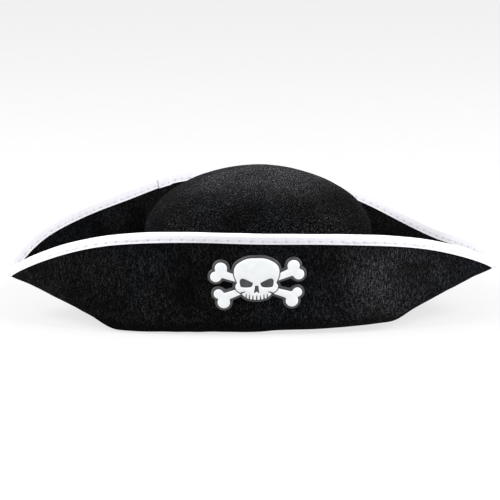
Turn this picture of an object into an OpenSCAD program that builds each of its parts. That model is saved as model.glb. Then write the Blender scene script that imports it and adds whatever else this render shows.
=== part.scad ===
// Pirate tricorn hat: a blocked felt crown sewn to a felt brim that is turned up in three flaps,
// bound all round with folded ribbon, with a moulded skull-and-crossbones badge on the front flap.
// Millimetres, +Z up, front of the hat towards -Y. The origin is the middle of the head opening,
// level with the underside of the brim.

/* [Crown] */
// Left-to-right width of the crown at its foot
crown_w = 190; // [184:1:194]
// Front-to-back length of the crown at its foot
crown_l = 204; // [200:1:206]
// Height of the upright wall above the underside of the brim
wall_h = 57.5; // [50:0.5:64]
// Height of the dome above the wall
dome_h = 55; // [45:1:60]
// Thickness of the crown felt
crown_t = 2.6; // [2:0.1:3]

/* [Brim] */
// Thickness of the brim felt
brim_t = 2.6; // [2:0.1:3]
// Height of the collar that is turned up inside the crown
collar_h = 14; // [10:1:20]
// Radius of the bend between the floor of the brim and a flap
bend_r = 12; // [8:1:13]
// Left-to-right place of the left, right and back points
tip_x = [-209.5, 198.5, -6]; // [-220:0.5:220]
// Front-to-back place of the left, right and back points
tip_y = [-56, -44, 200]; // [-60:1:210]
// Height of the felt's edge at the left, right and back points
tip_edge_z = [34, 39.5, 48]; // [30:0.5:75]
// Height of the bottom of the gutter at the left, right and back points
tip_fold_z = [36.5, 40.5, 42]; // [20:0.5:60]

/* [Flaps: front, right rear, left rear] */
// How far each flap's edge bows out from the straight line between its two points
edge_bulge = [80.5, 21.5, 7]; // [0:0.5:90]
// How far each flap's bottom fold bows out from that line, negative where it cuts inside
fold_bulge = [69, -6, -13]; // [-20:1:80]
// How square each fold line is in plan
fold_power = [3.1, 3, 3]; // [2:0.1:5]
// How high each flap's edge arches above the line between its points
edge_rise = [44, 19, 38.5]; // [10:0.5:50]
// How square each flap's arch is
rise_power = [3.3, 6, 3.75]; // [2:0.05:7]
// How far each arch leans towards its first point
rise_skew = [2.6, -8.8, 3.6]; // [-10:0.2:8]
// Where each floor starts to climb to the points, from 0 mid-flap to 1 at a point
corner_at = [0.59, 0.485, 0.5]; // [0.3:0.005:0.7]
// Lift of the floor under each flap's corner, next to its second point
corner_lift = [6, 4, 0]; // [0:0.5:8]

/* [Ribbon binding] */
// Height of the folded ribbon's legs, outside and inside the brim
leg_h = [5.8, 6.9]; // [5:0.1:10]
// Thickness of the ribbon
ribbon_t = 0.8; // [0.4:0.1:1]
// Distance of the stitch line from the ribbon's lower edge
stitch_inset = 2; // [1:0.5:3]
// Distance between needle holes
stitch_pitch = 9; // [6:1:12]

/* [Sweatband and label] */
// Height of the sweatband
band_h = 28; // [20:1:34]
// Thickness of the sweatband
band_t = 1; // [0.6:0.1:1.4]
// Width of the satin label
label_w = 26; // [20:1:40]
// Height of the satin label
label_h = 22; // [14:1:24]

/* [Badge] */
// Height of the badge's centre up the front flap
badge_z = 46.5; // [30:0.5:50]
// Left-to-right place of the badge's centre
badge_x = -1.5; // [-6:0.5:6]
// Thickness of the grey backing
backing_t = 1.6; // [1:0.1:2.4]
// Thickness of the raised white faces
face_t = 0.8; // [0.4:0.1:1.4]
// Width of the grey border round the white faces
border = 2.2; // [1:0.1:3]
// Radius of the moulded corners of the skull's face
mould_r = 0.3; // [0.1:0.05:0.4]
// Left-to-right place of each bone's end: upper left, upper right, lower left, lower right
bone_x = [-29.7, 30.6, -27.6, 29.5]; // [-34:0.1:34]
// Height of each bone's end above the badge's centre
bone_y = [5.8, 7.5, -15.2, -14.2]; // [-18:0.1:12]
// Slope across which each bone's two knobs stand
knob_slope = 30; // [14:1:40]

/* [Hidden] */

FELT = [0.09, 0.09, 0.1];
RIBBON = [0.93, 0.93, 0.95];
THREAD = [0.8, 0.8, 0.82];
BLACK_THREAD = [0.05, 0.05, 0.05];
SATIN = [0.9, 0.9, 0.88];
BADGE_WHITE = [0.97, 0.97, 0.97];
BADGE_GREY = [0.28, 0.28, 0.29];

gap = 0.1;              // clearance between one layer of cloth and the next
edge_power = 1.9;       // how square each flap's edge is in plan
climb_power = 0.68;     // how straight the floor climbs to the points
tip_cut = [0.02, 0.03, 0.04];  // share of each flap that the rounding of its points takes
flap_steps = 19;        // columns along each flap
tip_steps = 4;          // steps round each point
floor_steps = 4;
bend_steps = 5;
wall_steps = 5;
seam_z = 8;             // height of the stitches that join the crown to the collar
thread_t = 0.5;         // thickness of a stitch

// Semi-axes of the layers at the head opening, from the outside in
crown_out = [crown_w, crown_l] / 2;
crown_in = crown_out - [1, 1] * crown_t;
collar_in = crown_in - [1, 1] * (gap + brim_t);
band_out = collar_in - [1, 1] * gap;
band_in = band_out - [1, 1] * band_t;

function lerp(a, b, t) = a + (b - a) * t;
function unit(v) = v / norm(v);
function bezier(a, b, c, t) = a * pow(1 - t, 2) + b * 2 * t * (1 - t) + c * pow(t, 2);
function next_tip(i) = (i + 1) % 3;
function from_middle(t) = abs(2 * t - 1);

// --- Rim of the brim: where the felt's edge and its bottom fold run -------------------------------

// A point in plan on flap i, bowed out from the line between its two tips
function bowed(i, t, bulge, power) =
    let (a = [tip_x[i], tip_y[i]], b = [tip_x[next_tip(i)], tip_y[next_tip(i)]], d = b - a)
    a + d * t + unit([d.y, -d.x]) * bulge * (1 - pow(from_middle(t), power));

function edge_point(i, t) =
    let (p = bowed(i, t, edge_bulge[i], edge_power))
    [p.x, p.y, lerp(tip_edge_z[i], tip_edge_z[next_tip(i)], t)
        + edge_rise[i] * (1 - pow(from_middle(t), rise_power[i])) + rise_skew[i] * sin(360 * t)];

// The floor lies flat under the middle of each flap and climbs from its corners to the tips
function fold_z(i, t) =
    let (end = t < 0.5 ? i : next_tip(i), lift = t < 0.5 ? 0 : corner_lift[i],
        climb = max(0, (from_middle(t) - corner_at[i]) / (1 - corner_at[i])))
    lift * min(1, from_middle(t) / corner_at[i]) + (tip_fold_z[end] - lift) * pow(climb, climb_power);

function fold_point(i, t) =
    let (p = bowed(i, t, fold_bulge[i], fold_power[i]))
    [p.x, p.y, fold_z(i, t)];

function rim_at(i, t) = [edge_point(i, t), fold_point(i, t)];

// Share of the flap's width, a little closer together towards its tips
function spread(i, k) =
    let (u = k / flap_steps)
    lerp(tip_cut[i], 1 - tip_cut[i], u - 0.05 * sin(360 * u));

rim = [for (i = [0:2]) each concat(
    [for (k = [0:flap_steps]) rim_at(i, spread(i, k))],
    [for (k = [1:tip_steps - 1])
        bezier(rim_at(i, 1 - tip_cut[i]), rim_at(i, 1), rim_at(next_tip(i), tip_cut[next_tip(i)]),
            k / tip_steps)])];
columns = len(rim);

// --- Brim surfaces ---------------------------------------------------------------------------------

// One column of the lower surface: down the collar, out over the floor, up the flap to its edge
function lower_column(edge, fold) =
    let (angle = atan2(fold.y / collar_in.y, fold.x / collar_in.x),
        foot = [collar_in.x * cos(angle), collar_in.y * sin(angle), 0],
        up = edge - fold, back = foot - fold, r = min(bend_r, 0.75 * norm(up), 0.75 * norm(back)),
        bend_in = fold + unit(back) * r, bend_out = fold + unit(up) * r)
    concat([foot + [0, 0, collar_h]],
        [for (k = [0:floor_steps - 1]) lerp(foot, bend_in, k / floor_steps)],
        [for (k = [0:bend_steps]) bezier(bend_in, fold, bend_out, k / bend_steps)],
        [for (k = [1:wall_steps]) lerp(bend_out, edge, k / wall_steps)]);

lower = [for (r = rim) lower_column(r[0], r[1])];
rows = len(lower[0]);

function across(i, j) = lower[(i + 1) % columns][j] - lower[(i + columns - 1) % columns][j];
function patch_normal(i, j) = unit(cross(lower[i][j + 1] - lower[i][j], across(i, j) + across(i, j + 1)));

// Direction and length from the lower to the upper surface, mitred at the bends
function through(i, j) =
    let (a = patch_normal(i, max(0, j - 1)), b = patch_normal(i, min(rows - 2, j)))
    (a + b) * brim_t / (1 + a * b);

upper = [for (i = [0:columns - 1]) [for (j = [0:rows - 1]) lower[i][j] + through(i, j)]];

// Skin of a closed ring whose cross-sections are closed loops of the same number of points
module ring_solid(sections) {
    n = len(sections);
    m = len(sections[0]);
    points = [for (s = sections) each s];
    faces = [for (i = [0:n - 1], j = [0:m - 1])
        let (a = i * m + j, b = i * m + (j + 1) % m, c = ((i + 1) % n) * m + (j + 1) % m,
            d = ((i + 1) % n) * m + j)
        each [[a, b, c], [a, c, d]]];
    polyhedron(points, faces, convexity = 8);
}

function backwards(list) = [for (k = [len(list) - 1:-1:0]) list[k]];

// --- Ribbon round the edge ---------------------------------------------------------------------------

// Lower and upper surface points at a distance down from the felt's edge, in column i
function down_from_edge(i, d, j = rows - 1) =
    let (step = norm(lower[i][j] - lower[i][j - 1]))
    d > step && j > 1 ? down_from_edge(i, d - step, j - 1)
        : [lerp(lower[i][j], lower[i][j - 1], d / step), lerp(upper[i][j], upper[i][j - 1], d / step)];

// A point off the lower (side 0) or upper (side 1) surface by a clearance
function off_surface(pair, side, off) = pair[side] + unit(pair[side] - pair[1 - side]) * off;

leg_steps = [1, 0.5, 0];
roll_angles = [150, 120, 90, 60, 30];

// One layer of the folded ribbon, up its lower-side leg, over the edge and down its upper-side leg
function ribbon_layer(i, off) =
    let (top = down_from_edge(i, 0), below = down_from_edge(i, 1), mid = (top[0] + top[1]) / 2,
        thick = unit(top[1] - top[0]), rise = unit(top[0] - below[0]), r = brim_t / 2 + off)
    concat([for (s = leg_steps) off_surface(down_from_edge(i, s * leg_h[0]), 0, off)],
        [for (a = roll_angles) mid + thick * r * cos(a) + rise * r * sin(a)],
        [for (s = backwards(leg_steps)) off_surface(down_from_edge(i, s * leg_h[1]), 1, off)]);

function ribbon_section(i) = concat(ribbon_layer(i, gap + ribbon_t), backwards(ribbon_layer(i, gap)));

// --- Stitches ----------------------------------------------------------------------------------------

// A bar lying at p along unit vector a, with its height along unit vector c
module stitch(p, a, c, length) {
    b = cross(c, a);
    multmatrix([[a.x, b.x, c.x, p.x], [a.y, b.y, c.y, p.y], [a.z, b.z, c.z, p.z], [0, 0, 0, 1]])
        translate([-length / 2, -thread_t / 2, 0])
            cube([length, thread_t, thread_t]);
}

// Stitches on one side of the binding, evenly along each span between two columns
module binding_stitches(side) {
    line = [for (i = [0:columns - 1])
        off_surface(down_from_edge(i, leg_h[side] - stitch_inset), side, 2 * gap + ribbon_t)];
    outward = [for (i = [0:columns - 1])
        let (pair = down_from_edge(i, leg_h[side] - stitch_inset)) unit(pair[side] - pair[1 - side])];
    for (i = [0:columns - 1]) {
        a = line[i];
        b = line[(i + 1) % columns];
        span = norm(b - a);
        count = round(span / stitch_pitch);
        along = unit(b - a);
        mean = outward[i] + outward[(i + 1) % columns];
        if (count > 0)
            for (k = [0:count - 1])
                stitch(lerp(a, b, (k + 0.5) / count), along, unit(mean - along * (mean * along)),
                    0.8 * span / count);
    }
}

// Stitches round an oval, lying on its outside (side 1) or its inside (side -1)
module oval_stitches(semi, z, side, count) {
    for (k = [0:count - 1]) {
        angle = 360 * (k + 0.5) / count;
        along = unit([-semi.x * sin(angle), semi.y * cos(angle), 0]);
        stitch([semi.x * cos(angle), semi.y * sin(angle), z], along, [along.y, -along.x, 0] * side, 5);
    }
}

// --- Oval shells ---------------------------------------------------------------------------------------

oval_sides = 72;
dome_steps = 12;

function oval(semi) = [for (k = [0:oval_sides - 1]) let (a = 360 * k / oval_sides) [semi.x * cos(a), semi.y * sin(a)]];

module oval_ring(outer, inner, z, height) {
    translate([0, 0, z])
        linear_extrude(height)
            difference() {
                polygon(oval(outer));
                polygon(oval(inner));
            }
}

// Points of a domed surface: an oval at its foot, then ovals from the top of its wall nearly to its peak
function dome_points(semi, z_foot, rise) = concat([for (p = oval(semi)) [p.x, p.y, z_foot]],
    [for (k = [0:dome_steps - 1], p = oval(semi * cos(90 * k / dome_steps)))
        [p.x, p.y, wall_h + rise * sin(90 * k / dome_steps)]],
    [[0, 0, wall_h + rise]]);

// Faces between the ovals of one domed surface, whose points start at number first, and its cap
function dome_faces(first) = [for (k = [0:oval_sides - 1])
    let (next = (k + 1) % oval_sides, peak = first + oval_sides * (dome_steps + 1))
    each concat(
        [for (j = [0:dome_steps - 1])
            let (a = first + j * oval_sides + k, b = first + j * oval_sides + next)
            each [[a, a + oval_sides, b + oval_sides], [a, b + oval_sides, b]]],
        [[peak - oval_sides + k, peak, peak - oval_sides + next]])];

// A thin domed shell, open below
module dome_shell(outer, inner, thickness, z_foot) {
    second = oval_sides * (dome_steps + 1) + 1;
    points = concat(dome_points(outer, z_foot, dome_h), dome_points(inner, z_foot, dome_h - thickness));
    foot_faces = [for (k = [0:oval_sides - 1])
        let (next = (k + 1) % oval_sides)
        each [[k, next, second + next], [k, second + next, second + k]]];
    polyhedron(points, concat(dome_faces(0), [for (f = dome_faces(second)) backwards(f)], foot_faces),
        convexity = 4);
}

// --- Badge outlines, about the middle of the badge ---------------------------------------------------------

crossing_y = -4.6;      // height of the bones' crossing
knob_r = [[4.4, 4.6], [4.8, 3.8]];  // lower and upper knob of an upper bone, then of a lower one
knob_apart = 3.9;
jaw_y = -16.3;          // lowest point of the teeth

// Bone k from the crossing out to its two knobs, cut back round the skull
module bone_end(k) {
    end = [bone_x[k], bone_y[k]];
    start = [0, crossing_y];
    along = unit(end - start);
    side = [-along.y, along.x];
    turn = sign(end.x) * sign(end.y - crossing_y) * knob_slope;
    radii = knob_r[k < 2 ? 0 : 1];
    difference() {
        union() {
            polygon([start + along * 8 - side * 2.3, end - side * 3.4, end + side * 3.4, start + along * 8 + side * 2.3]);
            for (s = [-1, 1])
                translate(end + s * knob_apart * [-sin(turn), cos(turn)])
                    circle(radii[s < 0 ? 0 : 1], $fn = 48);
        }
        offset(r = 0.7)
            skull_outline();
    }
}

module mirrored_polygon(half) {
    polygon(concat(half, [for (p = backwards(half)) [-p.x, p.y]]));
}

module skull_outline() {
    hull() {
        for (s = [-1, 1]) {
            translate([s * 7.5, 8])
                circle(9.6, $fn = 64);
            translate([s * 9.3, 5])
                circle(8, $fn = 64);
        }
    }
    mirrored_polygon([[16, 2], [15.2, -1.8], [16.8, -5], [15.8, -8], [12.6, -11.3], [10.9, -10.6],
        [10.4, -13.4], [7, -15.4], [3.6, jaw_y]]);
}

module skull_openings() {
    polygon([[-12.9, 0], [-10.6, 0.9], [-3.3, -2.2], [-3.1, -3.4], [-4.8, -6.2], [-11.8, -6.5], [-12.9, -3.4]]);
    polygon([[12.4, 0], [10.3, 1.1], [2.6, -2.2], [2.7, -3.4], [5, -5.9], [11.8, -4.6], [12.6, -1.7]]);
    mirrored_polygon([[1.1, -5], [1.9, -11.2], [0.3, -10]]);
    for (x = [-8.4, -5.8, -3, 0, 3, 5.8, 8.4])
        translate([x, jaw_y + 0.022 * x * x])
            square([0.7, 4.6], center = true);
}

module badge_outline() {
    offset(r = border) {
        skull_outline();
        for (k = [0:3])
            bone_end(k);
    }
}

// Puts a plate drawn flat in plan on the outside of the front flap, at a height off the felt
module on_front_flap(off) {
    edge = edge_point(0, 0.5);
    fold = fold_point(0, 0.5);
    lean = atan2(fold.y - edge.y, edge.z - fold.z);
    translate([badge_x, lerp(fold.y, edge.y, badge_z / edge.z), badge_z])
        rotate([90 + lean, 0, 0])
            translate([0, 0, off])
                children();
}

backing_off = 0.6;
face_off = backing_off + backing_t + 0.02;

// --- Parts -----------------------------------------------------------------------------------------------

module crown() {
    color(FELT)
        dome_shell(crown_out, crown_in, crown_t, brim_t + gap);
}

module brim() {
    color(FELT)
        ring_solid([for (i = [0:columns - 1]) concat(lower[i], backwards(upper[i]))]);
}

module edge_binding() {
    color(RIBBON)
        ring_solid([for (i = [0:columns - 1]) ribbon_section(i)]);
}

module binding_stitching() {
    color(THREAD) {
        binding_stitches(0);
        binding_stitches(1);
    }
}

module crown_seam_stitching() {
    color(BLACK_THREAD)
        oval_stitches(crown_out + [gap, gap], seam_z, 1, 68);
}

module sweatband() {
    color(BLACK_THREAD)
        oval_ring(band_out, band_in, 1, band_h);
}

module sweatband_stitching() {
    color(BLACK_THREAD)
        oval_stitches(band_in - [gap, gap], 3.5, -1, 68);
}

module care_label() {
    outer = band_in - [1, 1] * (2 * gap + thread_t);
    color(SATIN)
        intersection() {
            oval_ring(outer, outer - [0.4, 0.4], 2, label_h);
            translate([-label_w / 2, 0, 0])
                cube([label_w, crown_l, crown_l]);
        }
}

module badge_glue() {
    color(SATIN)
        on_front_flap(0.1)
            for (x = [-10, 0, 10])
                translate([x, -1, 0])
                    cylinder(r = 4.6, h = backing_off - 0.15, $fn = 48);
}

module badge_backing() {
    color(BADGE_GREY)
        on_front_flap(backing_off)
            linear_extrude(backing_t)
                badge_outline();
}

module badge_skull() {
    color(BADGE_WHITE)
        on_front_flap(face_off)
            linear_extrude(face_t)
                offset(r = mould_r, $fn = 16)
                    offset(delta = -mould_r)
                        difference() {
                            skull_outline();
                            skull_openings();
                        }
}

module badge_bone(k) {
    color(BADGE_WHITE)
        on_front_flap(face_off)
            linear_extrude(face_t)
                bone_end(k);
}

crown();
brim();
edge_binding();
binding_stitching();
crown_seam_stitching();
sweatband();
sweatband_stitching();
care_label();
badge_glue();
badge_backing();
badge_skull();
badge_bone(0);  // badge_bone_upper_left
badge_bone(1);  // badge_bone_upper_right
badge_bone(2);  // badge_bone_lower_left
badge_bone(3);  // badge_bone_lower_right
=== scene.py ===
"""The looks of a felt tricorn pirate hat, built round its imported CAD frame.

Shapes are worked out in millimetres, in the CAD's own frame: +X right, -Y out of the front flap, +Z up,
with the origin in the middle of the head opening. They become metres when a mesh is made.
"""
import math

import bpy
import numpy as np
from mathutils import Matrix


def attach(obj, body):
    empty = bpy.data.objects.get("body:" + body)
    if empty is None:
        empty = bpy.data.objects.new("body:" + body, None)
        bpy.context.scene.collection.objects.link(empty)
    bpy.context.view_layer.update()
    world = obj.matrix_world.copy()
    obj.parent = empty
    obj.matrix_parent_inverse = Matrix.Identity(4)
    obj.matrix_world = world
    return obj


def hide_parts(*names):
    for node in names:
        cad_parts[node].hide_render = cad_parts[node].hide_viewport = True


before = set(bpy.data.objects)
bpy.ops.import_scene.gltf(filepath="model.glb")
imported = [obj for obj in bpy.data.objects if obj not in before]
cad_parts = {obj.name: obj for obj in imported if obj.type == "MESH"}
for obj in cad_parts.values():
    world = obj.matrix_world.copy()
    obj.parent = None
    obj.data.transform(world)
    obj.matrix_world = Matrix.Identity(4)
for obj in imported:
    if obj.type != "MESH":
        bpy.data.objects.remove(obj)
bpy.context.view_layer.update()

MM = 0.001

# ---- Driving dimensions, in millimetres, as in the CAD ------------------------------------------------

FELT_T = 2.6
GAP = 0.1                                  # left between pieces that lie on each other
CROWN_OUT = np.array([95.0, 102.0])        # half widths of the crown's oval wall, outside
CROWN_IN = CROWN_OUT - FELT_T
COLLAR_IN = CROWN_IN - GAP - FELT_T        # the brim's collar, inside the crown's foot
BAND_OUT = COLLAR_IN - GAP
WALL_H = 57.5                              # the crown's upright wall, then its dome
DOME_H = 55.0
COLLAR_H = 14.0
COLLAR_BEND = 3.4                          # where the collar turns into the brim's floor
BEND_R = 12.0                              # where the floor turns up into a flap

# Flap i goes from point i to the next: front, right rear, left rear
TIPS = np.array([[-209.5, -56.0], [198.5, -44.0], [-6.0, 200.0]])  # left, right and back point
TIP_EDGE_Z = (34.0, 39.5, 48.0)            # height of the edge at each point
TIP_FOLD_Z = (36.5, 40.5, 42.0)            # height of the fold at each point
TIP_CUT = (0.02, 0.03, 0.04)               # share of a flap that each point's rounding takes
EDGE_BULGE = (80.5, 21.5, 7.0)             # how far each flap's edge bows out, seen from above
EDGE_POWER = 1.9
FOLD_BULGE = (69.0, -6.0, -13.0)           # the same for the fold at its bottom
FOLD_POWER = (3.1, 3.0, 3.0)
EDGE_RISE = (44.0, 19.0, 38.5)             # how far the edge rises in its middle above its ends
RISE_POWER = (3.3, 6.0, 3.75)
RISE_SKEW = (2.6, -8.8, 3.6)               # more height in a flap's first half than in its second
CORNER_AT = (0.59, 0.485, 0.5)             # share of a half flap where its fold leaves the floor
CORNER_LIFT = (6.0, 4.0, 0.0)              # how far the floor rises towards a flap's second half
CLIMB_POWER = 0.68
EDGE_BEND = 0.9                            # slow hand-pressed bends of the edge and the fold
EDGE_WAVE = 0.35
FOLD_BEND = 0.5

LEG_H = (5.8, 6.9)                         # the ribbon outside the brim and inside it
RIBBON_T = 0.8
STITCH_INSET = 2.0
STITCH_PITCH = 9.0
OVERLAP = 14.0                             # of the ribbon's two ends
SEAM_STITCHES = 68                         # in the crown's seam, and in the sweatband's
SEAM_STITCH = 5.2
CROWN_SEAM_Z = 8.0
BAND_SEAM_Z = 3.5
BAND_BOTTOM = 1.0
BAND_H = 28.0
BAND_T = 1.0
LABEL_W = 26.0
LABEL_H = 22.0                             # once folded
LABEL_BOTTOM = 3.0
BADGE_X = -1.5
BADGE_Z = 46.6

# How finely the rim is drawn
FLAP_COLUMNS = 220
TIP_COLUMNS = 26


# ---- Small maths --------------------------------------------------------------------------------------

def lerp(a, b, t):
    return a + (b - a) * t


def unit(v):
    return v / np.maximum(np.linalg.norm(v, axis=-1, keepdims=True), 1e-12)


def smooth_step(x):
    x = np.clip(x, 0, 1)
    return x * x * (3 - 2 * x)


def bezier(a, b, c, t):
    return a * (1 - t) ** 2 + b * 2 * t * (1 - t) + c * t * t


def unevenness(points, size, seed, waves=14):
    """A smooth random field, about -1 to 1, whose swells are about size across."""
    draw = np.random.default_rng(seed)
    ways = unit(draw.normal(size=(waves, 3))) * draw.uniform(0.6, 1.4, (waves, 1)) * math.tau / (2 * size)
    shifts = draw.uniform(0, math.tau, waves)
    return np.sin(points @ ways.T + shifts).sum(-1) / math.sqrt(waves)


def hand_bend(t, seed, size):
    """A slow bend along a flap, none at its two tips."""
    draw = np.random.default_rng(seed)
    bend = sum(draw.normal() / k * np.sin(math.pi * k * t + draw.uniform(-0.4, 0.4)) for k in (2, 3, 5, 7))
    return size * bend * np.sin(math.pi * t) ** 0.7


# ---- Meshes -------------------------------------------------------------------------------------------

def make_mesh(name, points, faces, material):
    """A closed piece from points in millimetres. It rides on the hat's one body."""
    mesh = bpy.data.meshes.new(name)
    mesh.from_pydata((np.asarray(points, float) * MM).tolist(), [], [list(f) for f in faces])
    mesh.validate()
    mesh.update()
    piece = bpy.data.objects.new(name, mesh)
    bpy.context.scene.collection.objects.link(piece)
    for polygon in mesh.polygons:
        polygon.use_smooth = True
    face_outward(mesh)
    mesh.materials.append(material)
    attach(piece, "root")
    return piece


def grid_faces(rows, columns, close_rows=False, close_columns=False, first=0, flip=False):
    """Quads over a grid of points numbered row by row."""
    faces = []
    for i in range(rows if close_rows else rows - 1):
        for j in range(columns if close_columns else columns - 1):
            a = first + i * columns + j
            b = first + i * columns + (j + 1) % columns
            c = first + ((i + 1) % rows) * columns + (j + 1) % columns
            d = first + ((i + 1) % rows) * columns + j
            faces.append((a, d, c, b) if flip else (a, b, c, d))
    return faces


def strip_faces(sections, count):
    """Faces of a strip of closed sections of count points, where the points of a section run out along
    one side of the cloth and back along the other. Both ends are closed with quads across the cloth."""
    faces = grid_faces(sections, count, close_columns=True)
    last = (sections - 1) * count
    for j in range(count // 2 - 1):
        ring = (j, j + 1, count - 2 - j, count - 1 - j)
        faces += [ring[::-1], tuple(last + k for k in ring)]
    return faces


def add_uv(piece, u, v):
    """UVs from two numbers per point, in millimetres along and across the cloth."""
    layer = piece.data.uv_layers.new(name="cloth")
    corners = np.zeros(len(piece.data.loops), np.int32)
    piece.data.loops.foreach_get("vertex_index", corners)
    layer.data.foreach_set("uv", np.stack([u[corners], v[corners]], 1).ravel().astype(np.float32))


def add_attribute(piece, name, values):
    """A number per point that a material can read."""
    layer = piece.data.attributes.new(name, "FLOAT", "POINT")
    layer.data.foreach_set("value", np.asarray(values, np.float32))


def face_outward(mesh):
    """Turns the faces the right way out on a closed mesh, by the sign of its volume."""
    mesh.calc_loop_triangles()
    corners = np.array([t.vertices[:] for t in mesh.loop_triangles])
    points = np.array([v.co[:] for v in mesh.vertices])[corners]
    if np.einsum("ij,ij->i", points[:, 0], np.cross(points[:, 1], points[:, 2])).sum() < 0:
        mesh.flip_normals()


# ---- Materials ----------------------------------------------------------------------------------------

class Nodes:
    """A material's node tree, built a node at a time."""

    def __init__(self, name):
        self.material = bpy.data.materials.new(name)
        self.material.use_nodes = True
        self.tree = self.material.node_tree
        self.shader = self.tree.nodes["Principled BSDF"]

    def add(self, kind, settings=(), **inputs):
        node = self.tree.nodes.new(kind)
        for key, value in dict(settings).items():
            setattr(node, key, value)
        for key, value in inputs.items():
            self.feed(node, key.replace("_", " "), value)
        return node

    def feed(self, node, socket, value):
        socket = node.inputs[int(socket)] if socket.isdigit() else node.inputs[socket]
        if isinstance(value, bpy.types.NodeSocket):
            self.tree.links.new(value, socket)
        else:
            socket.default_value = value

    def finish(self, **inputs):
        for key, value in inputs.items():
            self.feed(self.shader, key.replace("_", " "), value)
        return self.material

    def place(self, scale=(1, 1, 1), rotation=(0, 0, 0), uv=False):
        source = self.add("ShaderNodeTexCoord")
        out = source.outputs["UV" if uv else "Object"]
        return self.add("ShaderNodeMapping", Vector=out, Scale=scale, Rotation=rotation).outputs[0]

    def noise(self, vector, scale, detail=2.0, roughness=0.5, distortion=0.0):
        node = self.add("ShaderNodeTexNoise", Vector=vector, Scale=scale, Detail=detail, Roughness=roughness,
                        Distortion=distortion)
        return node.outputs[0]

    def remap(self, value, low, high, to_low=0.0, to_high=1.0):
        node = self.add("ShaderNodeMapRange", {"clamp": True})
        for index, number in enumerate((value, low, high, to_low, to_high)):
            self.feed(node, str(index), number)
        return node.outputs[0]

    def maths(self, operation, a, b=0.0):
        node = self.add("ShaderNodeMath", {"operation": operation})
        self.feed(node, "0", a)
        self.feed(node, "1", b)
        return node.outputs[0]

    def mix(self, share, a, b):
        node = self.add("ShaderNodeMix", {"data_type": "RGBA"})
        self.feed(node, "0", share)
        self.feed(node, "6", a)
        self.feed(node, "7", b)
        return node.outputs[2]

    def bump(self, height, strength, distance, below=None):
        node = self.add("ShaderNodeBump", Height=height, Strength=strength, Distance=distance)
        if below is not None:
            self.feed(node, "Normal", below)
        return node.outputs[0]


def grey(value, blue=1.1):
    return (value, value, value * blue, 1)


def felt_material(name, dark, light, sheen, sparse):
    """Brushed polyester felt: a near-black pile with pale flecks and short combed streaks, fewer where
    sparse is larger. The flecks are dimmed in the lowest 14 mm, as painted shade near the floor. A point
    attribute, 0 to 1, paints a highlight by mixing the pile towards pale grey."""
    n = Nodes(name)
    flat = n.place()
    combed = n.place(scale=(1, 1, 0.3), rotation=(0.2, 0.8, 0.3))
    fleck = n.noise(flat, 1050, detail=3, roughness=0.8)
    streak = n.noise(combed, 900, detail=3, roughness=0.7, distortion=0.4)
    patch = n.noise(flat, 26, detail=3, roughness=0.6)
    pile = n.maths("ADD", n.remap(fleck, sparse, sparse + 0.12), n.remap(streak, sparse, sparse + 0.16))
    pile = n.maths("MULTIPLY", pile, n.remap(patch, 0.3, 0.7, 0.25, 1.15))
    # Painted shade: the flecks are dimmed in the lowest 14 mm, so the felt darkens towards the floor.
    low = n.add("ShaderNodeSeparateXYZ", Vector=flat).outputs[2]
    pile = n.maths("MULTIPLY", pile, n.remap(low, 0.002, 0.014, 0.25, 1.0))
    pile = n.maths("MINIMUM", pile, 1.0)
    painted_sheen = n.add("ShaderNodeAttribute", {"attribute_name": "painted_sheen"}).outputs["Fac"]
    dye = n.remap(n.noise(flat, 17, detail=2), 0.4, 0.6)
    warm, cool = (tuple(light * c for c in tint) + (1,) for tint in ((1.02, 0.98, 0.96), (0.88, 1, 1.24)))
    lit = n.mix(dye, warm, cool)
    # Painted highlight: where the attribute is set, the pile is mixed towards pale grey.
    painted_highlight = n.mix(pile, grey(0.012), grey(0.42))
    colour = n.mix(painted_sheen, n.mix(pile, grey(dark), lit), painted_highlight)
    soft = n.bump(n.noise(flat, 130, detail=2), 0.25, 0.0012)
    normal = n.bump(n.maths("ADD", fleck, streak), 1.0, 0.0012, soft)
    n.shader.inputs["Sheen Tint"].default_value = (0.72, 0.76, 0.9, 1)
    return n.finish(Base_Color=colour, Roughness=0.95, Specular_IOR_Level=0.03, Normal=normal,
                    Sheen_Weight=sheen, Sheen_Roughness=0.16)


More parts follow.
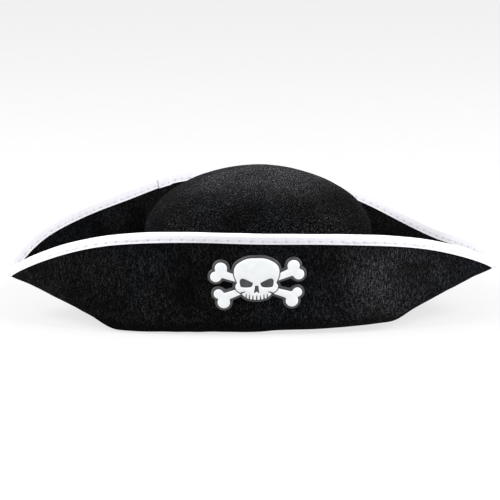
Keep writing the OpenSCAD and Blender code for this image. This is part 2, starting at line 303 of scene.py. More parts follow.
def ribbon_material(name, colour, shade, rib_pitch, rib_depth, sheen):
    """Woven ribbon with fine ribs across it, painted shade in their troughs and in the needle holes; U runs
    along the ribbon, in millimetres.
    """
    n = Nodes(name)
    cloth = n.place(uv=True)
    ribs = n.add("ShaderNodeTexWave", {"bands_direction": "X", "wave_profile": "SIN"}, Vector=cloth,
                 Scale=math.tau / (20 * rib_pitch), Distortion=0.35, Detail=1.0, Detail_Scale=2.0).outputs[1]
    threads = n.noise(n.place(uv=True, scale=(0.6, 5, 1)), 1.0, detail=2)
    slub = n.noise(n.place(uv=True, scale=(1, 0.5, 1)), 0.16, detail=3)
    dimple = n.add("ShaderNodeAttribute", {"attribute_name": "needle"}).outputs["Fac"]
    # Painted shade in the troughs between the ribs, plus random thread-to-thread tone.
    rib_shade_and_thread_tone = n.maths("ADD", n.remap(ribs, 0, 1, 0.35, 0), n.remap(threads, 0.35, 0.7, 0.0, 0.45))
    rib_shade_and_thread_tone = n.maths("MULTIPLY", rib_shade_and_thread_tone, n.remap(slub, 0.3, 0.7, 0.6, 1.2))
    body = n.mix(n.maths("MINIMUM", rib_shade_and_thread_tone, 1.0), colour, shade)
    # Painted shade in the needle holes, from the needle attribute.
    body = n.mix(n.maths("MULTIPLY", dimple, 0.5), body, tuple(c * 0.35 for c in shade[:3]) + (1,))
    height = n.maths("ADD", n.maths("MULTIPLY", ribs, 0.7), n.maths("MULTIPLY", threads, 0.5))
    normal = n.bump(height, 0.8, rib_depth)
    return n.finish(Base_Color=body, Roughness=0.72, Specular_IOR_Level=0.25, Normal=normal,
                    Sheen_Weight=sheen, Sheen_Roughness=0.4)


def thread_material(name, colour):
    """Twisted sewing thread, with painted shade in the grooves of its twist."""
    n = Nodes(name)
    twist = n.add("ShaderNodeTexWave", {"bands_direction": "DIAGONAL"}, Vector=n.place(uv=True),
                  Scale=1.2, Distortion=0.2).outputs[1]
    # Painted shade: the grooves of the twist are darker.
    dark = tuple(c * 0.62 for c in colour[:3]) + (1,)
    return n.finish(Base_Color=n.mix(twist, dark, colour), Roughness=0.55, Specular_IOR_Level=0.35,
                    Normal=n.bump(twist, 0.7, 0.00008))


def satin_material():
    """Blank woven satin tape."""
    n = Nodes("label_satin")
    cloth = n.place(uv=True, scale=(8, 1.5, 1))
    weave = n.noise(cloth, 1.0, detail=2)
    colour = n.mix(n.remap(weave, 0.3, 0.7), (0.72, 0.72, 0.7, 1), (0.86, 0.86, 0.84, 1))
    return n.finish(Base_Color=colour, Roughness=0.38, Specular_IOR_Level=0.5, Anisotropic=0.5,
                    Normal=n.bump(weave, 0.3, 0.00005))


def plastic_material(name, low, high, roughness, grain):
    """Soft moulded plastic with a very fine mould grain and faint rubbed patches."""
    n = Nodes(name)
    place = n.place()
    speck = n.noise(place, 2600, detail=2)
    cloud = n.noise(place, 180, detail=3)
    rubbed = n.remap(cloud, 0.35, 0.7)
    colour = n.mix(rubbed, low, high)
    rough = n.remap(cloud, 0.3, 0.7, roughness - 0.06, roughness + 0.08)
    normal = n.bump(speck, grain, 0.00004, n.bump(cloud, 0.15, 0.0004))
    return n.finish(Base_Color=colour, Roughness=rough, Specular_IOR_Level=0.4, Normal=normal)


def glue_material():
    """Cloudy, glossy hot glue."""
    n = Nodes("hot_glue")
    cloud = n.noise(n.place(), 400, detail=2)
    colour = n.mix(cloud, (0.72, 0.7, 0.6, 1), (0.86, 0.84, 0.76, 1))
    return n.finish(Base_Color=colour, Roughness=0.3, Normal=n.bump(cloud, 0.3, 0.0003))


BRIM_FELT = felt_material("brim_felt", 0.0005, 0.028, 0.004, 0.52)
CROWN_FELT = felt_material("crown_felt", 0.0002, 0.08, 0.008, 0.565)
RIBBON = ribbon_material("white_ribbon", (0.8, 0.8, 0.83, 1), (0.6, 0.6, 0.66, 1), 0.8, 0.00007, 0.15)
BAND_RIBBON = ribbon_material("sweatband_ribbon", grey(0.022), grey(0.009), 1.1, 0.00018, 0.25)
WHITE_THREAD = thread_material("white_thread", (0.74, 0.74, 0.78, 1))
BLACK_THREAD = thread_material("black_thread", grey(0.03))
LABEL_SATIN = satin_material()
BADGE_WHITE = plastic_material("badge_white", (0.78, 0.8, 0.82, 1), (0.84, 0.86, 0.87, 1), 0.42, 0.25)
BADGE_GREY = plastic_material("badge_grey", (0.04, 0.039, 0.041, 1), (0.075, 0.073, 0.077, 1), 0.5, 0.4)
HOT_GLUE = glue_material()


# ---- Rim of the brim: the felt's edge, and the fold at the bottom of each flap ------------------------

def bowed(i, t, bulge, power):
    """Flap i's line seen from above: from its one point to the next, bowed out between them."""
    a, b = TIPS[i], TIPS[(i + 1) % 3]
    along = b - a
    outward = unit(np.array([along[1], -along[0]]))
    bow = bulge * (1 - np.abs(2 * t - 1) ** power)
    return a + t[:, None] * along + bow[:, None] * outward


def edge_line(i, t):
    """The felt's edge along flap i, for shares t of the way from its one point to the next."""
    bend = hand_bend(t, 11 + i, EDGE_BEND)
    middle = np.abs(2 * t - 1)
    rise = EDGE_RISE[i] * (1 - middle ** RISE_POWER[i]) + RISE_SKEW[i] * np.sin(math.tau * t)
    z = lerp(TIP_EDGE_Z[i], TIP_EDGE_Z[(i + 1) % 3], t) + rise + hand_bend(t, 21 + i, EDGE_WAVE)
    plan = bowed(i, t, EDGE_BULGE[i] + bend, EDGE_POWER)
    return np.column_stack([plan, z])


def fold_line(i, t):
    """The fold at the bottom of flap i: level with the floor, then climbing to the points."""
    middle = np.abs(2 * t - 1)
    end = np.where(t < 0.5, TIP_FOLD_Z[i], TIP_FOLD_Z[(i + 1) % 3])
    lift = np.where(t < 0.5, 0.0, CORNER_LIFT[i])
    climb = np.clip((middle - CORNER_AT[i]) / (1 - CORNER_AT[i]), 0, 1)
    z = lift * np.minimum(1, middle / CORNER_AT[i]) + (end - lift) * climb ** CLIMB_POWER
    plan = bowed(i, t, FOLD_BULGE[i] + hand_bend(t, 31 + i, FOLD_BEND), FOLD_POWER[i])
    return np.column_stack([plan, z])


def rim_lines():
    """The felt's edge and the bottom fold, point by point round the hat, with the tips rounded off."""
    edges, folds = [], []
    for i in range(3):
        cut, nxt = TIP_CUT[i], (i + 1) % 3
        t = np.linspace(cut, 1 - cut, FLAP_COLUMNS)
        ends = np.array([1 - cut, 1.0])
        start = np.array([TIP_CUT[nxt]])
        turn = np.linspace(0, 1, TIP_COLUMNS + 2)[1:-1, None]
        for line, out in ((edge_line, edges), (fold_line, folds)):
            leave, tip = line(i, ends)
            out += [line(i, t), bezier(leave, tip, line(nxt, start)[0], turn)]
    return np.concatenate(edges), np.concatenate(folds)


def smooth_round(values, width):
    """Values on a closed line, averaged over a few neighbours."""
    kernel = np.hanning(2 * width + 3)[1:-1]
    kernel /= kernel.sum()
    padded = np.concatenate([values[-width:], values, values[:width]])
    return np.stack([np.convolve(padded[:, k], kernel, "valid") for k in range(values.shape[1])], 1)


def brim_lower_surface(edge, fold, floor_rows=22, bend_rows=14, wall_rows=30):
    """Points of the brim's underside and outside, column by column: collar, floor, bend and flap."""
    angle = np.arctan2(fold[:, 1] / COLLAR_IN[1], fold[:, 0] / COLLAR_IN[0])
    oval = np.column_stack([np.cos(angle), np.sin(angle)])
    outward = unit(oval / COLLAR_IN)

    def ring(out, z):
        return np.column_stack([oval * COLLAR_IN + outward * out, np.full(len(oval), z)])

    collar_rows, collar_bend_rows = 5, 7
    rows = [ring(0, z) for z in np.linspace(COLLAR_H, COLLAR_BEND + 0.5, collar_rows)]
    for a in np.radians(np.linspace(0, 90, collar_bend_rows)):
        rows.append(ring(COLLAR_BEND * (1 - math.cos(a)), COLLAR_BEND * (1 - math.sin(a))))
    foot = rows[-1]
    up, back = edge - fold, foot - fold
    up_length, back_length = (np.linalg.norm(v, axis=1, keepdims=True) for v in (up, back))
    r = np.minimum(BEND_R, 0.75 * np.minimum(up_length, back_length))
    bend_in, bend_out = fold + back / back_length * r, fold + up / up_length * r
    rows += [lerp(foot, bend_in, k / floor_rows) for k in range(1, floor_rows)]
    rows += [bezier(bend_in, fold, bend_out, k / bend_rows) for k in range(bend_rows + 1)]
    rows += [lerp(bend_out, edge, k / wall_rows) for k in range(1, wall_rows + 1)]
    return np.stack(rows, 1)


def surface_normals(grid):
    """Directions from the lower to the upper surface, on a grid closed along its first axis."""
    across = np.roll(grid, -1, 0) - np.roll(grid, 1, 0)
    along = np.gradient(grid, axis=1)
    return unit(np.cross(along, across))


EDGE, FOLD = rim_lines()
EDGE, FOLD = smooth_round(EDGE, 3), smooth_round(FOLD, 5)
LOWER = brim_lower_surface(EDGE, FOLD)
NORMAL = surface_normals(LOWER)


def pressed(grid, normal):
    """Adds the felt's slight unevenness, fading out under the ribbon and at the head opening."""
    across = np.linspace(0, 1, grid.shape[1])
    share = smooth_step((across - 0.2) / 0.1) * smooth_step((0.93 - across) / 0.1)
    swell = 0.28 * unevenness(grid, 22, 5) + 0.12 * unevenness(grid, 9, 6)
    return grid + normal * (swell * share)[..., None]


def make_brim():
    """The brim's felt, with a painted highlight in a patch on the right of the front flap."""
    # Where and how wide the painted highlight lies, and how strong it is.
    patch, stretch, highlight_r, painted_highlight = np.array([100, -115, 42]), np.array([1, 0.5, 1.3]), 42, 0.2
    lower = pressed(LOWER, NORMAL)
    lower[..., 2] = np.maximum(lower[..., 2], 0)
    upper = lower + NORMAL * FELT_T
    sections = np.concatenate([lower, upper[:, ::-1]], 1)
    count = sections.shape[1]
    piece = make_mesh("brim_felt", sections.reshape(-1, 3), grid_faces(len(sections), count, True, True),
                      BRIM_FELT)
    # Painted highlight, fading out from the patch's middle.
    from_highlight = np.linalg.norm((sections - patch) * stretch, axis=-1)
    add_attribute(piece, "painted_sheen", (painted_highlight * np.exp(-(from_highlight / highlight_r) ** 2)).ravel())
    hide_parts("brim")


# ---- Crown --------------------------------------------------------------------------------------------

def make_crown(around=288, wall_rows=22, dome_rows=44):
    """A blocked dome of felt over an upright oval wall, open below. Its top carries a painted highlight."""
    angle = np.linspace(0, math.tau, around, endpoint=False)
    foot = FELT_T + GAP + 0.6
    # Painted highlight on the top, from 92 mm up to full strength 22 mm higher.
    highlight_from, highlight_over, painted_highlight = 92, 22, 0.75

    def skin(semi, rise):
        climb = np.linspace(0, 1, wall_rows, endpoint=False)
        bow = np.radians(np.linspace(0, 89.2, dome_rows))
        out = np.concatenate([np.ones(wall_rows), np.cos(bow)])
        z = np.concatenate([lerp(foot, WALL_H, climb), WALL_H + rise * np.sin(bow)])
        return np.stack([out[:, None] * semi[0] * np.cos(angle), out[:, None] * semi[1] * np.sin(angle),
                         np.broadcast_to(z[:, None], (len(z), around))], -1)

    def blocked(points):
        """The felt's slow unevenness, the same on both faces, and none at the foot."""
        normal = unit(points * np.array([1 / CROWN_OUT[0] ** 2, 1 / CROWN_OUT[1] ** 2, 0])
                      + np.array([0, 0, 1]) * np.maximum(points[..., 2:] - WALL_H, 0) / DOME_H ** 2)
        above_foot = smooth_step((points[..., 2] - 18) / 25)
        swell = 0.55 * unevenness(points, 48, 1) + 0.22 * unevenness(points, 17, 2)
        return points + normal * (swell * above_foot)[..., None]

    outer = blocked(skin(CROWN_OUT, DOME_H))
    inner = blocked(skin(CROWN_IN, DOME_H - FELT_T))
    rows = outer.shape[0]
    points = np.concatenate([outer.reshape(-1, 3), inner.reshape(-1, 3),
                             [outer[-1].mean(0), inner[-1].mean(0)]])
    second, peak = rows * around, 2 * rows * around
    faces = grid_faces(rows, around, close_columns=True)
    faces += grid_faces(rows, around, close_columns=True, first=second, flip=True)
    for k in range(around):
        nxt = (k + 1) % around
        faces += [(k, second + k, second + nxt, nxt),
                  (second - around + k, second - around + nxt, peak),
                  (peak - around + nxt, peak - around + k, peak + 1)]
    piece = make_mesh("crown_felt", points, faces, CROWN_FELT)
    add_attribute(piece, "painted_sheen", smooth_step((points[:, 2] - highlight_from) / highlight_over) * painted_highlight)
    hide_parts("crown")


# ---- Ribbon binding -----------------------------------------------------------------------------------

class EdgeCloth:
    """Places on the felt near its edge: s millimetres round the hat, d down from the edge, on either side."""

    STEP = 0.4
    DEEP = 14.0

    def __init__(self):
        self.downs = np.arange(0, self.DEEP, self.STEP)
        upper = LOWER + NORMAL * FELT_T
        self.sides = [self._resampled(LOWER), self._resampled(upper)]
        loop = np.concatenate([EDGE, EDGE[:1]])
        self.s_at = np.concatenate([[0], np.cumsum(np.linalg.norm(np.diff(loop, axis=0), axis=1))])
        self.length = self.s_at[-1]
        self.reach = [self._reach(grid, leg) for grid, leg in zip(self.sides, LEG_H)]

    def _reach(self, grid, leg):
        """How far down each column a leg's lower edge lies, when it is leg millimetres square to the edge."""
        out = []
        for column in grid:
            near = np.linalg.norm(column[:, None] - grid[None, :, 0], axis=-1).min(1)
            out.append(np.interp(leg, np.maximum.accumulate(near), self.downs))
        out = smooth_round(np.array(out)[:, None], 8)[:, 0]
        return np.append(out, out[0])

    def _resampled(self, grid):
        out = []
        for column in grid:
            back = column[::-1]
            d = np.concatenate([[0], np.cumsum(np.linalg.norm(np.diff(back, axis=0), axis=1))])
            out.append(np.stack([np.interp(self.downs, d, back[:, k]) for k in range(3)], 1))
        return np.stack(out)

    def at(self, side, s, d):
        """Points on one side of the felt; s and d are arrays of the same shape."""
        column = np.interp(np.mod(s, self.length), self.s_at, np.arange(len(self.s_at)))
        i, share = np.floor(column).astype(int), (column % 1)[..., None]
        row = np.clip(d / self.STEP, 0, len(self.downs) - 1.001)
        j, part = np.floor(row).astype(int), (row % 1)[..., None]
        grid, n = self.sides[side], len(EDGE)
        near = lerp(grid[i % n, j], grid[i % n, j + 1], part)
        far = lerp(grid[(i + 1) % n, j], grid[(i + 1) % n, j + 1], part)
        return lerp(near, far, share)

    def off(self, side, s, d, away):
        """Points off one side of the felt by a distance."""
        here, there = self.at(side, s, d), self.at(1 - side, s, d)
        return here + unit(here - there) * np.asarray(away)[..., None]


CLOTH = EdgeCloth()
JOIN_SHARE = 0.345         # where the ribbon's ends meet, along the left rear flap
JOIN_S = CLOTH.s_at[int(2 * (FLAP_COLUMNS + TIP_COLUMNS) + JOIN_SHARE * FLAP_COLUMNS)]
EDGE_ROLLS = np.radians((155, 130, 105, 75, 50, 25))  # turns at which the ribbon is drawn over the edge
NEEDLE_R = 0.62
STITCH_COUNT = round(CLOTH.length / STITCH_PITCH)
PITCH = CLOTH.length / STITCH_COUNT


def dimple(s, d, stitch_d):
    """How deep a needle hole pulls the ribbon in, from 0 to 1."""
    to_hole = np.abs((s / PITCH + 0.5) % 1 - 0.5) * PITCH
    return np.exp(-(to_hole ** 2 + (d - stitch_d) ** 2) / (2 * NEEDLE_R ** 2))


def ribbon_puff(s, d, side, leg):
    """How far the ribbon's face stands off its mean thickness."""
    stitch_d = leg - STITCH_INSET
    to_hole = np.abs((s / PITCH + 0.5) % 1 - 0.5) * 2
    groove = np.exp(-((d - stitch_d) / 0.7) ** 2) * (0.1 + 0.08 * (1 - to_hole))
    body = 0.16 * np.clip(1 - ((d - 0.45 * leg) / (0.6 * leg)) ** 2, 0, 1) * (0.75 + 0.25 * to_hole)
    waver = 0.5 + 0.5 * np.sin(s / 5.3 + 2 * side) * np.sin(s / 13.7)
    lip = 0.1 * smooth_step((d - leg + 0.9) / 0.9) * waver
    slow = 0.07 * np.sin(s / 9.1 + side) + 0.05 * np.sin(s / 23.0 + 2 * side)
    return body + lip + slow - groove - 0.42 * dimple(s, d, stitch_d)


def leg_height(s, side):
    """The ribbon's hand-fed legs are not quite even."""
    leg = np.interp(np.mod(s, CLOTH.length), CLOTH.s_at, CLOTH.reach[side])
    return leg + 0.22 * np.sin(s / 37.0 + 1.9 * side) + 0.14 * np.sin(s / 14.0 + 4 * side)


def ribbon_extra(run):
    """Lift and growth of the ribbon's last stretch, which lies over its first."""
    over = smooth_step((run - (CLOTH.length - 5)) / 5)
    return over * (RIBBON_T + 0.1), over * 0.7


def ribbon_section(run, face):
    """One face of the folded ribbon (1 outer, 0 inner) at distances run along it: points and their places."""
    s = run + JOIN_S
    zero = np.zeros_like(s)
    lift, grow = ribbon_extra(run)
    points, places, needles = [], [], []
    leg_shares = np.linspace(1, 0, 19)
    for side in (0, 1):
        leg = leg_height(s, side) + grow
        shares = leg_shares if side == 0 else leg_shares[::-1]
        for share in shares:
            d = share * leg
            away = GAP + lift + (RIBBON_T + ribbon_puff(s, d, side, leg) if face else 0)
            points.append(CLOTH.off(side, s, d, away))
            places.append(d if side else -d)
            needles.append(dimple(s, d, leg - STITCH_INSET) if face else zero)
        if side == 0:
            top, under = CLOTH.at(0, s, zero), CLOTH.at(1, s, zero)
            below = CLOTH.at(0, s, zero + 1)
            for roll in EDGE_ROLLS:
                r = FELT_T / 2 + GAP + lift + (RIBBON_T + 0.06 * np.sin(s / 6.0) if face else 0)
                across, up = unit(under - top), unit(top - below)
                spoke = across * math.cos(roll) + up * math.sin(roll)
                points.append((top + under) / 2 + r[:, None] * spoke)
                places.append(zero + FELT_T / 2 * math.cos(roll))
                needles.append(zero)
    return np.stack(points, 1), np.stack(places, 1), np.stack(needles, 1)


def make_ribbon(step=0.9):
    """The ribbon folded over the whole edge, with its end lapped over its start."""
    run = np.linspace(0, CLOTH.length + OVERLAP, int((CLOTH.length + OVERLAP) / step))
    outer, across, needle = ribbon_section(run, 1)
    inner, across_in, needle_in = ribbon_section(run, 0)
    points = np.concatenate([outer, inner[:, ::-1]], 1)
    count = points.shape[1]
    piece = make_mesh("ribbon_binding", points.reshape(-1, 3), strip_faces(len(run), count), RIBBON)
    along = np.repeat(run, count)
    add_uv(piece, along, np.concatenate([across, across_in[:, ::-1]], 1).ravel())
    # The needle attribute marks where painted shade darkens the needle holes.
    add_attribute(piece, "needle", np.concatenate([needle, needle_in], 1).ravel())
    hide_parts("edge_binding")


# ---- Thread -------------------------------------------------------------------------------------------

def tubes(name, paths, radius, material, sides=7):
    """Many short round threads as one piece; each path is an array of points."""
    points, faces, along, around = [], [], [], []
    turn = np.linspace(0, math.tau, sides, endpoint=False)
    for path in paths:
        tangent = unit(np.gradient(path, axis=0))
        helper = np.array([0, 0, 1.0]) if abs(tangent[:, 2]).mean() < 0.8 else np.array([1.0, 0, 0])
        a = unit(np.cross(tangent, helper))
        b = np.cross(tangent, a)
        first = len(points)
        radii = radius * np.sqrt(np.clip(1 - np.linspace(-1, 1, len(path)) ** 8, 0.02, 1))
        for k, centre in enumerate(path):
            points += list(centre + radii[k] * (np.outer(np.cos(turn), a[k]) + np.outer(np.sin(turn), b[k])))
            along += [k] * sides
            around += list(turn)
        faces += grid_faces(len(path), sides, close_columns=True, first=first)
        end = first + (len(path) - 1) * sides
        faces += [tuple(range(first + sides - 1, first - 1, -1)), tuple(range(end, end + sides))]
    piece = make_mesh(name, points, faces, material)
    add_uv(piece, np.array(along), np.array(around))
    return piece


def make_binding_stitches(thread_r=0.16):
    """Lockstitches lying in the ribbon's groove, diving into each needle hole, on both sides."""
    share = np.linspace(0.07, 0.93, 9)
    dive = 0.34 * np.abs(2 * share - 1) ** 5
    paths = []
    for side in (0, 1):
        for k in range(STITCH_COUNT):
            s = (k + share) * PITCH
            run = (s - JOIN_S) % CLOTH.length
            lift, grow = ribbon_extra(np.where(run < OVERLAP, run + CLOTH.length, run))
            leg = leg_height(s, side) + grow
            d = leg - STITCH_INSET
            face = GAP + RIBBON_T + ribbon_puff(s, d, side, leg) + lift
            paths.append(CLOTH.off(side, s, d, face + 0.05 - dive))
    piece = tubes("ribbon_stitches", paths, thread_r, WHITE_THREAD)
    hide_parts("binding_stitching")


def oval_stitches(name, semi, z, thread_r, dive_way, node):
    """Running stitches round an oval; dive_way is 1 where the ends sink inward and -1 outward."""
    paths = []
    share = np.linspace(-0.5, 0.5, 8)
    for k in range(SEAM_STITCHES):
        angle = math.tau * (k + 0.5) / SEAM_STITCHES + share * SEAM_STITCH / semi.mean()
        place = np.column_stack([np.cos(angle), np.sin(angle)])
        sink = 0.45 * np.abs(2 * share) ** 4 * dive_way
        plan = place * semi - unit(place / semi) * sink[:, None]
        drift = 0.35 * math.sin(k * 2.4)
        paths.append(np.column_stack([plan, np.full(len(share), z + drift) + 0.25 * share]))
    piece = tubes(name, paths, thread_r, BLACK_THREAD)
    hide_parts(node)


# ---- Sweatband and label ------------------------------------------------------------------------------

def oval_strip(name, semi, bottom, height, thick, turns, lean, material, rows=18, step=1.2):
    """A strip of cloth standing on edge round part of an oval. turns are its first and last angles; lean
    gives how far in it lies at (angle, share of its height), and may overlap itself."""
    reach = abs(turns[1] - turns[0]) * semi.mean()
    angle = np.linspace(turns[0], turns[1], max(8, int(reach / step)))
    share = np.linspace(0, 1, rows)
    round_end = 0.5 * thick * (1 - np.sqrt(np.clip(1 - (np.abs(2 * share - 1) ** 12), 0, 1)))
    faces_out = []
    for side in (0, 1):
        depth = lean(angle[:, None], share[None, :]) + (thick if side else 0)
        depth = depth + (round_end if side == 0 else -round_end)
        place = np.stack([np.cos(angle), np.sin(angle)], 1)[:, None, :]
        plan = place * semi - unit(place / semi) * depth[..., None]
        z = np.broadcast_to(bottom + height * share, depth.shape)
        faces_out.append(np.concatenate([plan, z[..., None]], -1))
    points = np.concatenate([faces_out[0], faces_out[1][:, ::-1]], 1)
    count = points.shape[1]
    piece = make_mesh(name, points.reshape(-1, 3), strip_faces(len(angle), count), material)
    along = np.repeat((angle - turns[0]) * semi.mean(), count)
    across = np.tile(np.concatenate([share, share[::-1]]) * height, len(angle))
    add_uv(piece, along, across)
    return piece


BAND_START = math.radians(101)
BAND_OVERLAP = math.radians(9)


def band_lean(angle, share):
    """How far the sweatband lies in from the collar: a little more at its top, and over its own start."""
    over = smooth_step((angle - BAND_START - math.tau + math.radians(3)) / math.radians(3))
    ripple = 0.25 * np.sin(7 * angle + 1) + 0.18 * np.sin(13 * angle)
    return 0.05 + share ** 1.5 * (0.7 + ripple) + over * (BAND_T + 0.1)


def make_sweatband():
    """The ribbon round the inside of the head opening, with its end lapped over its start."""
    piece = oval_strip("sweatband_ribbon", BAND_OUT, BAND_BOTTOM, BAND_H, BAND_T,
                       (BAND_START, BAND_START + math.tau + BAND_OVERLAP), band_lean, BAND_RIBBON)
    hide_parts("sweatband")


def make_label():
    """A blank satin tab, folded in two, lying against the back of the sweatband."""
    semi = BAND_OUT - BAND_T
    half_turn = LABEL_W / 2 / semi[0]
    thick, spare, ripple = 0.28, 0.9, 0.072
    angle = np.linspace(math.pi / 2 - half_turn, math.pi / 2 + half_turn, 28)
    rows = np.linspace(0, 1, 40)
    # Down the back layer, round the fold and up the front layer
    height = np.where(rows < 0.5, 1 - 2 * rows, 2 * rows - 1)
    z = LABEL_BOTTOM + LABEL_H * height
    bulge = 0.5 * np.sin(math.pi * np.clip(height * 1.1, 0, 1)) + 0.55
    layer = np.where(rows < 0.5, -1, 1)
    centre = 0.95 + 0.7 * height ** 1.5 + layer * bulge * spare * 0.5 * (1 - height ** 6)
    surfaces = []
    for side in (-0.5, 0.5):
        depth = centre + side * thick * layer + ripple * np.sin(9 * angle)[:, None]
        place = np.stack([np.cos(angle), np.sin(angle)], 1)[:, None, :]
        plan = place * semi - unit(place / semi) * depth[..., None]
        surfaces.append(np.concatenate([plan, np.broadcast_to(z, depth.shape)[..., None]], -1))
    points = np.concatenate([surfaces[0], surfaces[1][:, ::-1]], 1)
    count = points.shape[1]
    piece = make_mesh("blank_label", points.reshape(-1, 3), strip_faces(len(angle), count), LABEL_SATIN)
    add_uv(piece, np.repeat(angle * semi.mean(), count), np.tile(np.concatenate([z, z[::-1]]), len(angle)))
    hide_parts("care_label")


# ---- Badge: outlines as distances, moulded into plates that follow the flap ---------------------------

SKULL_HALF = [(0, 17.6), (6.2, 17.3), (11.4, 15.3), (15.6, 12.2), (17.5, 8), (17.3, 3.2), (16.2, 0),
              (15.4, -2.7), (16.6, -5.4), (15.4, -8.9), (12.2, -11.3), (10.7, -12.6), (8.4, -14.7),
              (4.4, -16.1), (0, -16.5)]
EYE = [(12.9, -0.2), (10.4, 1.0), (3.6, -2.2), (3.0, -3.6), (4.8, -6.1), (11.6, -6.1), (13.0, -3.6)]
NOSE = [(-1.1, -5.0), (1.1, -5.0), (2.0, -11.0), (0, -9.6), (-2.0, -11.0)]
CROSSING = np.array([0, -4.6])
BONE_ENDS = {("upper", "left"): (-29.7, 5.8), ("upper", "right"): (30.6, 7.5),
             ("lower", "left"): (-27.6, -15.2), ("lower", "right"): (29.5, -14.2)}
KNOB_R = {"upper": (4.3, 4.7), "lower": (4.8, 3.8)}  # of a bone's lower and upper knob
KNOB_SLOPE = math.radians(30)
KNOB_APART = 4.0                           # from the end of the shaft's middle line to a knob's centre
CHIN_Y = -16.6
TOOTH_GAPS = (3.0, 5.8, 8.4)               # on either side of the gap in the middle
GAP_R = (0.62, 0.3)                        # of a gap between teeth, at its foot and at its top
BORDER = 2.2
BACKING_T = 1.6
FACE_T = 0.8
FACE_ROUND = 0.45
BADGE_OFF = 0.15                           # from the felt to the backing
GLUE_R = 4.6


def smooth_outline(points, steps=8):
    """A closed curve through the points, as a polygon."""
    p = np.array(points, float)
    a, b, c, d = np.roll(p, 1, 0), p, np.roll(p, -1, 0), np.roll(p, -2, 0)
    out = []
    for t in np.linspace(0, 1, steps, endpoint=False):
        out.append(0.5 * (2 * b + (c - a) * t + (2 * a - 5 * b + 4 * c - d) * t ** 2
                          + (3 * b - a - 3 * c + d) * t ** 3))
    return np.stack(out, 1).reshape(-1, 2)


def polygon_distance(p, outline):
    """Distance from points to a polygon, negative inside."""
    best = np.full(p.shape[:-1], np.inf)
    inside = np.zeros(p.shape[:-1], bool)
    for a, b in zip(outline, np.roll(outline, -1, 0)):
        edge, away = b - a, p - a
        share = np.clip((away @ edge) / max(edge @ edge, 1e-9), 0, 1)
        best = np.minimum(best, np.linalg.norm(away - share[..., None] * edge, axis=-1))
        crosses = (a[1] > p[..., 1]) != (b[1] > p[..., 1])
        if abs(edge[1]) > 1e-12:
            inside ^= crosses & (p[..., 0] < a[0] + (p[..., 1] - a[1]) * edge[0] / edge[1])
    return np.where(inside, -best, best)


def taper_distance(p, a, b, r_a, r_b):
    """Distance to a round-ended bar whose radius goes from r_a to r_b."""
    a, b = np.array(a, float), np.array(b, float)
    share = np.clip(((p - a) @ (b - a)) / ((b - a) @ (b - a)), 0, 1)
    return np.linalg.norm(p - a - share[..., None] * (b - a), axis=-1) - lerp(r_a, r_b, share)


def blend_min(a, b, soft):
    """The nearer of two distances, with the inside corner filled."""
    h = np.clip(0.5 + 0.5 * (b - a) / soft, 0, 1)
    return lerp(b, a, h) - soft * h * (1 - h)


def skull_distance(p, openings=True):
    """The skull's face, with or without its eyes, nose, cheek notches and gaps between teeth."""
    half = np.array(SKULL_HALF, float)
    outline = smooth_outline(np.concatenate([half, (half * [-1, 1])[-2:0:-1]]))
    d = polygon_distance(p, outline)
    if not openings:
        return d
    for sign in (-1, 1):
        eye = smooth_outline(np.array(EYE) * [sign, 1], 6)
        d = np.maximum(d, -polygon_distance(p, eye))
        d = np.maximum(d, -taper_distance(p, (sign * 14, -11.8), (sign * 9.2, -9.9), 0.9, 0.35))
        for x in TOOTH_GAPS:
            foot = CHIN_Y + 0.022 * x * x
            gap = taper_distance(p, (sign * x, foot - 0.4), (sign * x * 0.96, foot + 3.2), *GAP_R)
            d = np.maximum(d, -gap)
    d = np.maximum(d, -taper_distance(p, (0, CHIN_Y - 0.6), (0, CHIN_Y + 3.3), *GAP_R))
    return np.maximum(d, -(polygon_distance(p, np.array(NOSE)) - 0.15))


def bone_distance(p, end):
    """A tapered shaft from the crossing out to two knobs."""
    end = np.array(end, float)
    r_below, r_above = KNOB_R["upper" if end[1] > CROSSING[1] else "lower"]
    along = unit(end - CROSSING)
    turn = math.copysign(1, along[0] * along[1]) * KNOB_SLOPE
    side = np.array([-math.sin(turn), math.cos(turn)])
    shaft = taper_distance(p, CROSSING + along * 8, end - along * 1.5, 2.2, 3.2)
    above = np.linalg.norm(p - end - side * KNOB_APART, axis=-1) - r_above
    below = np.linalg.norm(p - end + side * KNOB_APART, axis=-1) - r_below
    return blend_min(shaft, np.minimum(above, below), 1.6)


def clear_of_skull(p, end):
    """A bone, cut back to leave a dark line round the skull."""
    return np.maximum(bone_distance(p, end), 0.75 - skull_distance(p, openings=False))


def backing_distance(p):
    """The whole badge's outline, a border wider than the skull and bones."""
    d = skull_distance(p, openings=False)
    for end in BONE_ENDS.values():
        d = blend_min(d, bone_distance(p, end), 0.6)
    return d - BORDER


def on_front_flap(x, y, off):
    """Points on the outside of the front flap, from badge coordinates."""
    along = TIPS[1][0] - TIPS[0][0]

    def outside(x, z):
        t = (x - TIPS[0][0]) / along
        for _ in range(3):
            edge, fold = edge_line(0, t), fold_line(0, t)
            share = ((z - fold[:, 2]) / (edge[:, 2] - fold[:, 2]))[:, None]
            point = lerp(fold, edge, share)
            t = t + (x - point[:, 0]) / along
        return point

    x, z = x + BADGE_X, y + BADGE_Z
    here = outside(x, z)
    side, rise = outside(x + 1, z) - here, outside(x, z + 1) - here
    return here + unit(np.cross(side, rise)) * np.asarray(off)[:, None]


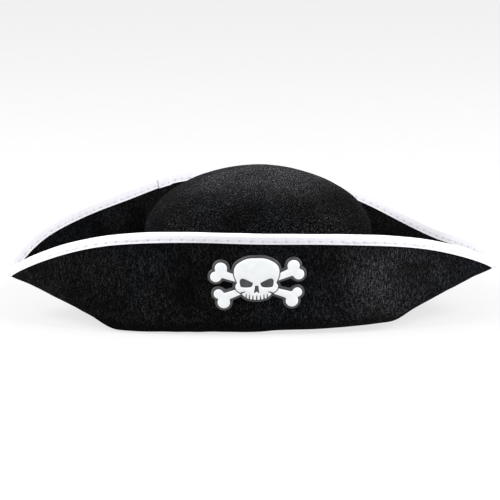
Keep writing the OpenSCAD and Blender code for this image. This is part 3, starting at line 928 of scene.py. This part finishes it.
def moulded_plate(name, distance, base, height, round_r, dome, material, step=0.28):
    """A plate whose outline is where distance is 0, with a rounded rim and a slightly domed face."""
    x, y = np.meshgrid(np.arange(-43, 43, step), np.arange(-26, 25, step), indexing="ij")
    p = np.stack([x, y], -1)
    d = distance(p)
    slope = np.stack(np.gradient(d, step), -1)
    steep = np.maximum((slope ** 2).sum(-1), 0.25)
    within, beyond = -0.35 * step, 1.6 * step  # points between these are pulled onto the outline
    pull = (d > within) & (d < beyond)
    p = np.where(pull[..., None], p - (d / steep)[..., None] * slope, p)
    depth = np.where(pull, 0, np.maximum(-d, 0))
    rim = np.minimum(depth, round_r)
    top = base + height - round_r + np.sqrt(round_r ** 2 - (round_r - rim) ** 2)
    top = top + dome * (1 - np.exp(-depth / 3))
    solid, near = d < within, d < beyond
    whole = near[:-1, :-1] & near[1:, :-1] & near[1:, 1:] & near[:-1, 1:]
    keep = (solid[:-1, :-1] | solid[1:, :-1] | solid[1:, 1:] | solid[:-1, 1:]) & whole
    number = np.arange(d.size).reshape(d.shape)
    i, j = np.nonzero(keep)
    quads = np.stack([number[i, j], number[i + 1, j], number[i + 1, j + 1], number[i, j + 1]], 1)
    used, quads = np.unique(quads, return_inverse=True)
    quads = quads.reshape(-1, 4)
    flat, count = p.reshape(-1, 2)[used], len(used)
    upper = on_front_flap(flat[:, 0], flat[:, 1], top.ravel()[used])
    lower = on_front_flap(flat[:, 0], flat[:, 1], np.full(count, base))
    edges = np.concatenate([quads[:, [k, (k + 1) % 4]] for k in range(4)])
    forward = {tuple(e) for e in edges.tolist()}
    rims = [(a, b) for a, b in forward if (b, a) not in forward]
    faces = [tuple(q) for q in quads.tolist()] + [tuple(q[::-1]) for q in (quads + count).tolist()]
    faces += [(b, a, a + count, b + count) for a, b in sorted(rims)]
    return make_mesh(name, np.concatenate([upper, lower]), faces, material)


def make_badge():
    """The backing plate, with the skull's face and the four bone ends raised on it."""
    plate = moulded_plate("badge_back", backing_distance, BADGE_OFF, BACKING_T, 0.9, 0.0, BADGE_GREY)
    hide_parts("badge_backing")
    face = BADGE_OFF + BACKING_T
    skull = moulded_plate("badge_skull_face", skull_distance, face, FACE_T, FACE_ROUND, 0.5, BADGE_WHITE)
    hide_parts("badge_skull")
    for (level, hand), end in BONE_ENDS.items():
        bone = moulded_plate(f"badge_bone_face_{level}_{hand}", lambda p, end=end: clear_of_skull(p, end),
                             face, FACE_T, FACE_ROUND, 0.35, BADGE_WHITE)
        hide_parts(f"badge_bone_{level}_{hand}")


def make_glue():
    """Three flattened beads of hot glue between the badge and the felt."""
    def beads(p):
        d = [np.linalg.norm((p - [x, -1]) * [1, 1.15], axis=-1) - GLUE_R for x in (-10, 0, 10)]
        return np.minimum(np.minimum(d[0], d[1]), d[2])

    piece = moulded_plate("glue_beads", beads, 0.02, 0.12, 0.05, 0.0, HOT_GLUE, step=0.6)
    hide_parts("badge_glue")


# ---- Camera, light and floor --------------------------------------------------------------------------

def make_camera():
    """Looks at the hat's middle from in front, a little above it. Lengths here are in metres."""
    elevation, away, aim = math.radians(12), 1.7, np.array([0, 0, 0.05])
    frame_width = 0.42
    data = bpy.data.cameras.new("camera")
    data.sensor_width = 36
    data.lens = data.sensor_width * away / frame_width
    data.shift_x = -0.017
    data.shift_y = -0.0174
    camera = bpy.data.objects.new("camera", data)
    bpy.context.scene.collection.objects.link(camera)
    camera.location = aim + away * np.array([0, -math.cos(elevation), math.sin(elevation)])
    camera.rotation_euler = (math.pi / 2 - elevation, 0, 0)
    bpy.context.scene.camera = camera


def softbox(name, place, size=(1.2, 1.0), power=48):
    """A wide soft light aimed at the hat's middle, in metres and watts."""
    data = bpy.data.lights.new(name, "AREA")
    data.shape = "RECTANGLE"
    data.size, data.size_y = size
    data.energy = power
    light = bpy.data.objects.new(name, data)
    bpy.context.scene.collection.objects.link(light)
    light.location = place
    x, y, z = np.array(place) - [0, 0, 0.05]
    light.rotation_euler = (math.atan2(math.hypot(x, y), z), 0, math.atan2(y, x) + math.pi / 2)


def make_studio(world_light=0.64):
    """An even white world, and a soft box on either side."""
    world = bpy.data.worlds.new("studio")
    world.use_nodes = True
    background = world.node_tree.nodes["Background"]
    background.inputs["Color"].default_value = (1, 1, 1, 1)
    background.inputs["Strength"].default_value = world_light
    bpy.context.scene.world = world
    bpy.context.scene.view_settings.view_transform = "Standard"
    softbox("left_softbox", (-1.55, -0.35, 1.25))
    softbox("right_softbox", (1.55, -0.35, 1.25))


def make_floor(half=6.0, drop=0.0004):
    """A pale floor that glows a little, in metres. It lies a hair below the brim, so that the two flat
    faces aren't in one place."""
    n = Nodes("studio_floor")
    mottle = n.noise(n.place(), 30, detail=2)
    colour = n.mix(mottle, grey(0.15, 1), grey(0.17, 1))
    material = n.finish(Base_Color=colour, Roughness=0.9, Specular_IOR_Level=0.1,
                        Emission_Color=(1, 1, 1, 1), Emission_Strength=0.73)
    mesh = bpy.data.meshes.new("studio_floor")
    corners = [(-half, -half, 0), (half, -half, 0), (half, half, 0), (-half, half, 0)]
    mesh.from_pydata(corners, [], [(0, 1, 2, 3)])
    floor = bpy.data.objects.new("studio_floor", mesh)
    floor.location.z = -drop
    bpy.context.scene.collection.objects.link(floor)
    mesh.materials.append(material)


make_camera()
make_studio()
make_floor()
make_brim()
make_crown()
make_ribbon()
make_binding_stitches()
oval_stitches("crown_seam_thread", CROWN_OUT + 0.1, CROWN_SEAM_Z, 0.28, 1, "crown_seam_stitching")
make_sweatband()
oval_stitches("sweatband_thread", BAND_OUT - BAND_T - 0.15, BAND_SEAM_Z, 0.25, -1, "sweatband_stitching")
make_label()
make_badge()
make_glue()
